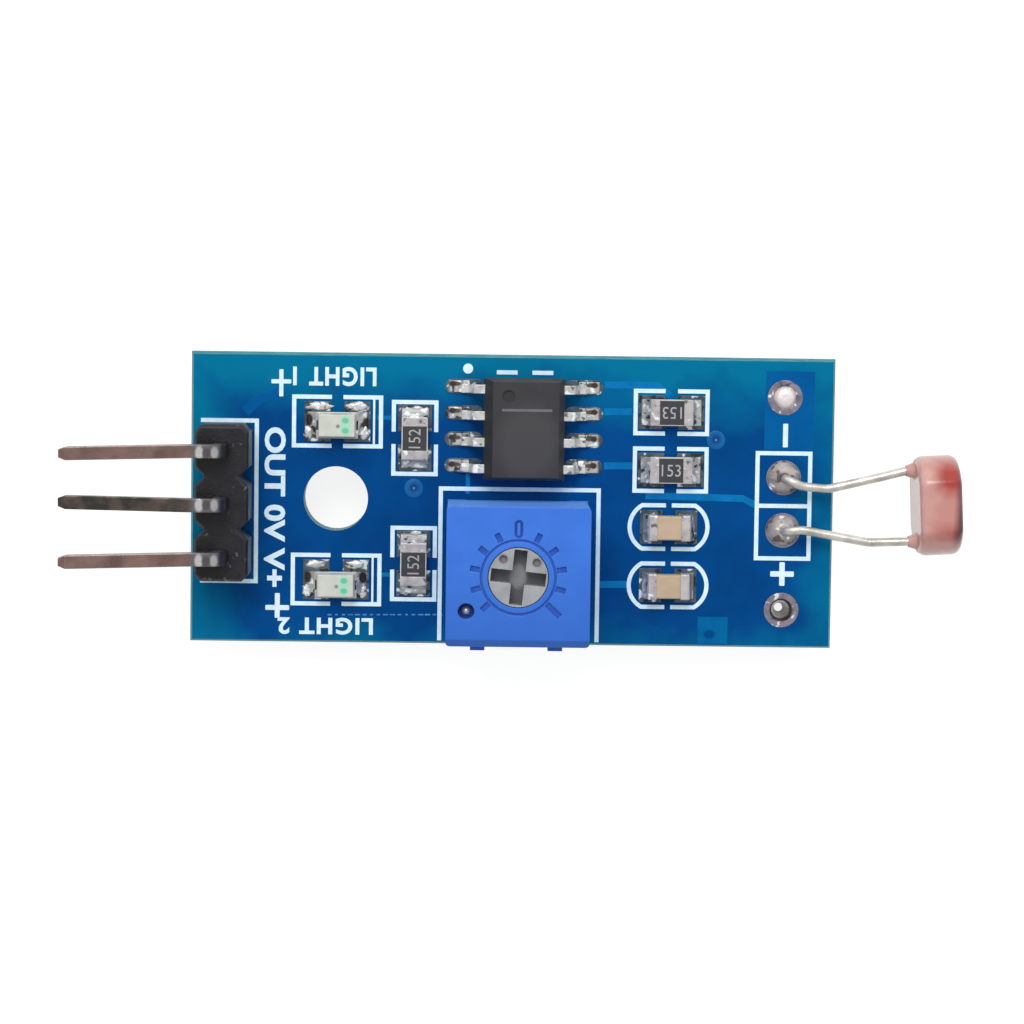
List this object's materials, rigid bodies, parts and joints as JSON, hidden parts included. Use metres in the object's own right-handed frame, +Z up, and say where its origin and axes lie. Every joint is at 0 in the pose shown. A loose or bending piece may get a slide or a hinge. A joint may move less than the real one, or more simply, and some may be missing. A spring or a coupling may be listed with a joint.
{
  "type": "light sensor module",
  "caption": "Small circuit module with a light-dependent resistor on bent leads, a comparator, a trimmer, indicator lamps, a bent pin header and a mounting hole.",
  "frame": {"origin": "centre of the mounting hole on the underside of the board", "axes": "+X along the board towards the light sensor, +Y across the board, +Z up through the components"},
  "size_m": [0.0427, 0.0142, 0.0079],
  "materials": {
    "solder_mask": "glossy blue solder mask over glass-epoxy laminate",
    "tinned_copper": "tinned copper, slightly dull",
    "white_ink": "matt printed ink",
    "black_nylon": "satin moulded plastic",
    "tinned_brass": "tin-plated square wire",
    "blue_housing": "satin moulded plastic",
    "grey_potting": "potting compound",
    "white_ceramic": "fired alumina",
    "grey_rotor": "satin moulded plastic",
    "seal_rubber": "rubber",
    "spring_brass": "rolled spring strip",
    "tinned_wire": "tinned wire",
    "black_epoxy": "matt moulded epoxy",
    "tinned_strip": "bright tinned strip",
    "resistor_coat": "fired glass coat",
    "chip_metal": "tinned end metal",
    "tan_ceramic": "fired barium titanate, satin",
    "led_laminate": "white laminate",
    "led_lens": "cloudy clear epoxy",
    "sensor_resin": "clear pinkish cast resin",
    "sensor_film": "fired sensing film",
    "solder": "bright solder"
  },
  "bodies": {
    "module": {"capacitor_1_body": "tan_ceramic", "capacitor_1_terminals": "chip_metal", "capacitor_2_body": "tan_ceramic", "capacitor_2_terminals": "chip_metal", "chip_solder": "solder", "circuit_board": "solder_mask", "comparator_body": "black_epoxy", "comparator_lead_1": "tinned_strip", "comparator_lead_2": "tinned_strip", "comparator_lead_3": "tinned_strip", "comparator_lead_4": "tinned_strip", "comparator_lead_5": "tinned_strip", "comparator_lead_6": "tinned_strip", "comparator_lead_7": "tinned_strip", "comparator_lead_8": "tinned_strip", "comparator_solder": "solder", "header_body": "black_nylon", "header_pin_1": "tinned_brass", "header_pin_2": "tinned_brass", "header_pin_3": "tinned_brass", "header_solder": "solder", "led_output_base": "led_laminate", "led_output_lens": "led_lens", "led_output_terminals": "chip_metal", "led_power_base": "led_laminate", "led_power_lens": "led_lens", "led_power_terminals": "chip_metal", "plated_holes": "tinned_copper", "resistor_1_body": "white_ceramic", "resistor_1_coat": "resistor_coat", "resistor_1_terminals": "chip_metal", "resistor_2_body": "white_ceramic", "resistor_2_coat": "resistor_coat", "resistor_2_terminals": "chip_metal", "resistor_3_body": "white_ceramic", "resistor_3_coat": "resistor_coat", "resistor_3_terminals": "chip_metal", "resistor_4_body": "white_ceramic", "resistor_4_coat": "resistor_coat", "resistor_4_terminals": "chip_metal", "sensor_ceramic": "white_ceramic", "sensor_lead_1": "tinned_wire", "sensor_lead_2": "tinned_wire", "sensor_resin": "sensor_resin", "sensor_solder": "solder", "sensor_track": "sensor_film", "silkscreen": "white_ink", "surface_pads": "tinned_copper", "trimmer_base": "grey_potting", "trimmer_element": "white_ceramic", "trimmer_housing": "blue_housing", "trimmer_pin_1": "tinned_wire", "trimmer_pin_2": "tinned_wire", "trimmer_pin_3": "tinned_wire", "trimmer_solder": "solder"},
    "rotor": {"trimmer_rotor": "grey_rotor", "trimmer_seal": "seal_rubber", "trimmer_wiper": "spring_brass"}
  },
  "joints": [
    {"name": "rotor_turn", "type": "hinge", "parent": "module", "child": "rotor", "pos_m": [0.00876, -0.00327, 0.0065], "axis": [0, 0, 1], "range_deg": [-130, 130]}
  ]
}
